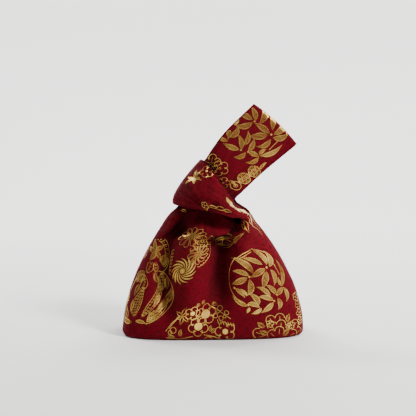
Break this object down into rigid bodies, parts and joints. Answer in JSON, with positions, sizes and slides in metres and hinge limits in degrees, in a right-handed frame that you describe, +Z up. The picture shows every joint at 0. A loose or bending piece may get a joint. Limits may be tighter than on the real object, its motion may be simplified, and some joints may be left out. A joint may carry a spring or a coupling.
{
  "type": "knotted wrist bag",
  "caption": "Small knot bag of dark red cotton with gold round crests, its long handle drawn through the loop of the short one.",
  "frame": {"origin": "middle of the underside of the base, which rests on the table", "axes": "+X to the right of the bag as seen from the front, +Y from the front to the back, +Z up from the table; the seams between the front and the back lie in the plane Y = 0"},
  "size_m": [0.2098, 0.0857, 0.2627],
  "materials": {
    "printed_cotton": "matt slubby weave with gold foil print",
    "lining_cotton": "matt plain weave"
  },
  "bodies": {
    "root": {"front_panel": "printed_cotton", "back_panel": "printed_cotton", "front_lining": "lining_cotton", "back_lining": "lining_cotton"}
  },
  "joints": []
}
